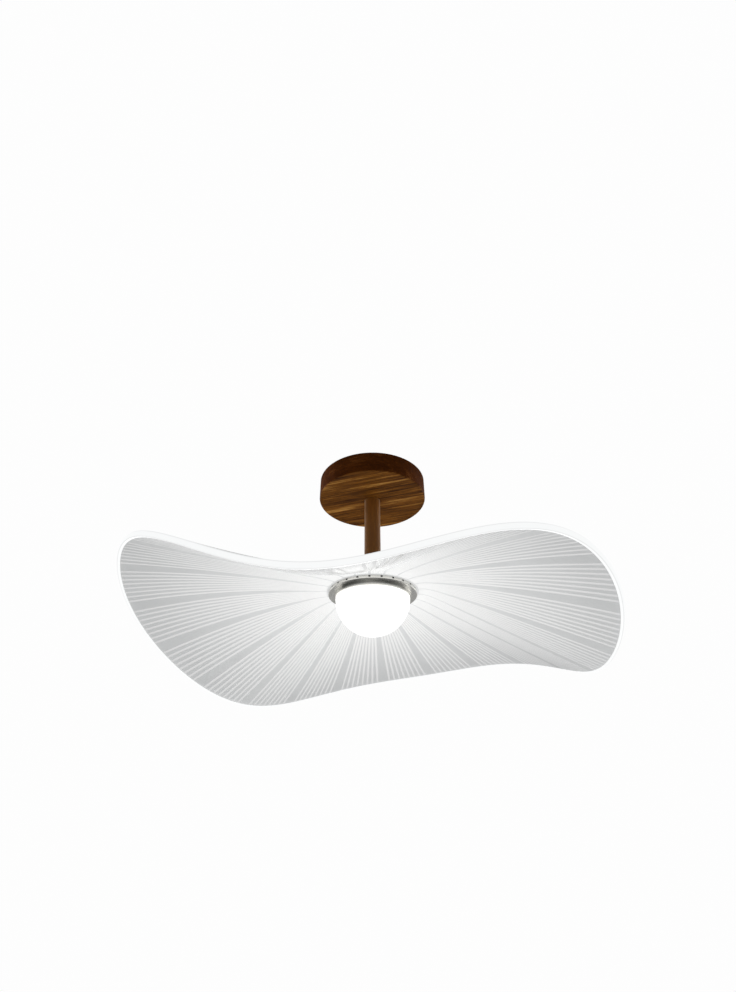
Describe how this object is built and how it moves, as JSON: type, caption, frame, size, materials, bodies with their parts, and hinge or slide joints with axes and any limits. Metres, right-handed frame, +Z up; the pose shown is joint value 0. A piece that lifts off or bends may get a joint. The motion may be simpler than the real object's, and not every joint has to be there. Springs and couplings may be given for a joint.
{
  "type": "semi-flush ceiling light",
  "caption": "Semi-flush ceiling light with a wooden canopy and stem, a wavy edge-lit acrylic disc engraved with radiating lines, and a glowing opal dome in a brushed metal ring.",
  "frame": {"origin": "centre of the ceiling plate's upper face, on the ceiling, over the stem", "axes": "+Z up along the stem, +X to the right in the picture, +Y away from its camera"},
  "size_m": [0.4942, 0.4947, 0.2323],
  "materials": {
    "walnut": "oiled satin walnut",
    "zinc_steel": "zinc plated",
    "nickel": "brushed nickel",
    "acrylic": "clear polished acrylic, engraved lines lit through the edge",
    "opal": "opal acrylic, lit from inside",
    "brass": "turned brass",
    "foam": "black foam",
    "silicone": "translucent silicone",
    "white_plastic": "moulded",
    "nylon": "natural nylon",
    "aluminium": "turned aluminium",
    "green_board": "solder mask",
    "white_board": "white solder mask",
    "led": "phosphor",
    "brown_wire": "insulation",
    "blue_wire": "insulation",
    "earth_wire": "insulation, green with a yellow stripe",
    "white_wire": "sheath"
  },
  "bodies": {
    "ceiling_mount": {"ceiling_plate": "zinc_steel", "stem_bridge": "zinc_steel", "bridge_screws": "zinc_steel", "lamp_pipe": "zinc_steel", "pipe_nut": "zinc_steel", "stem_washer": "zinc_steel", "stem": "walnut", "thrust_washer": "nylon", "wave_washer": "zinc_steel", "stop_washer": "zinc_steel", "swivel_nut": "zinc_steel", "driver_case": "white_plastic", "driver_cover": "white_plastic", "driver_board": "green_board", "small_screws": "zinc_steel", "terminal_block": "nylon", "terminal_screws": "brass", "earth_screw": "zinc_steel", "earth_lead": "earth_wire", "line_lead": "brown_wire", "neutral_lead": "blue_wire", "lamp_lead": "white_wire"},
    "sliding_canopy": {"canopy": "walnut", "canopy_inserts": "brass", "canopy_set_screws": "zinc_steel"},
    "lamp_head": {"upper_housing": "nickel", "stop_pin": "zinc_steel", "shade_gasket": "silicone", "shade": "acrylic", "vent_collar": "nickel", "light_seal": "foam", "trim_ring": "nickel", "lock_ring": "aluminium", "led_drum": "aluminium", "drum_screws": "zinc_steel", "led_strip": "white_board", "strip_leds": "led", "led_board": "white_board", "board_leds": "led", "board_screws": "zinc_steel", "lead_socket": "nylon", "board_leads": "white_wire", "strip_leads": "white_wire"},
    "dome_seal": {"dome_gasket": "silicone"},
    "opal_dome": {"dome": "opal", "dome_pins_ring": "white_plastic"}
  },
  "joints": [
    {"name": "canopy_slide", "type": "slide", "parent": "ceiling_mount", "child": "sliding_canopy", "axis": [0, 0, -1], "range_m": [0, 0.085]},
    {"name": "shade_turn", "type": "hinge", "parent": "ceiling_mount", "child": "lamp_head", "pos_m": [0, 0, -0.12], "axis": [0, 0, 1], "range_deg": [-162, 162]},
    {"name": "dome_drop", "type": "slide", "parent": "lamp_head", "child": "dome_seal", "axis": [0, 0, -1], "range_m": [0, 0.009]},
    {"name": "dome_turn", "type": "hinge", "parent": "dome_seal", "child": "opal_dome", "pos_m": [0, 0, -0.154], "axis": [0, 0, -1], "range_deg": [0, 75]}
  ],
  "couplings": [
    {"joint": "dome_drop", "follows": "dome_turn", "m_per_rad": 0.0068755}
  ]
}
